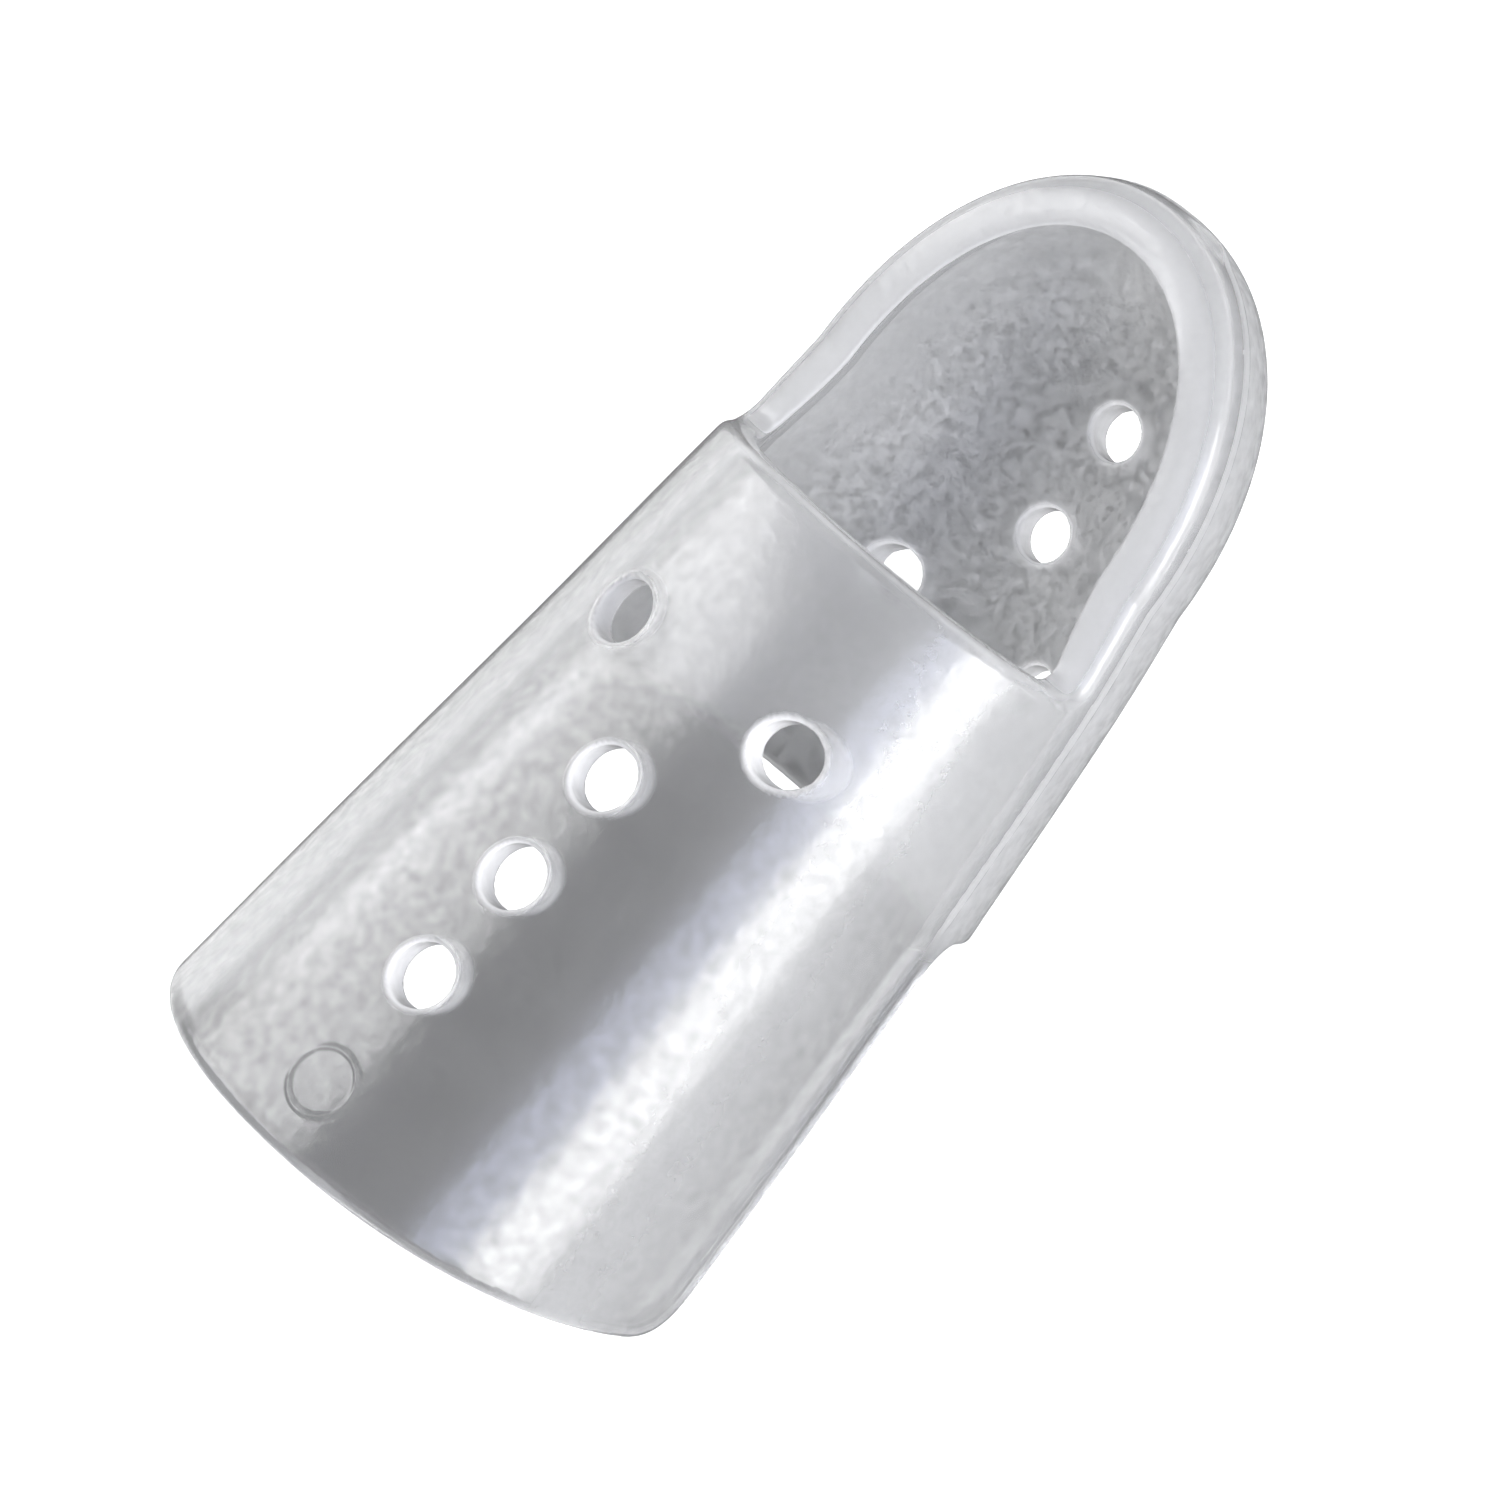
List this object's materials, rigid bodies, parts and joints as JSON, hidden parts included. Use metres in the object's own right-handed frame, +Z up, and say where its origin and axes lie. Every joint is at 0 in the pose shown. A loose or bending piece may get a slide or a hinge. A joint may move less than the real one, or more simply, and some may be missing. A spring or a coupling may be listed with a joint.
{
  "type": "finger splint",
  "caption": "Clear one-piece moulded finger splint: a deep fingertip tray and an arched back guard meet in a short ring, with vent holes, and hold a finger's end joint straight.",
  "frame": {"origin": "under the middle of the splint, on the surface it rests on", "axes": "+X runs along the finger towards its tip, +Y is to the left, +Z is up through the back of the finger"},
  "size_m": [0.06, 0.0304, 0.0301],
  "materials": {
    "clear_plastic": "clear, lightly frosted moulded plastic"
  },
  "bodies": {
    "root": {"splint_shell": "clear_plastic"}
  },
  "joints": []
}
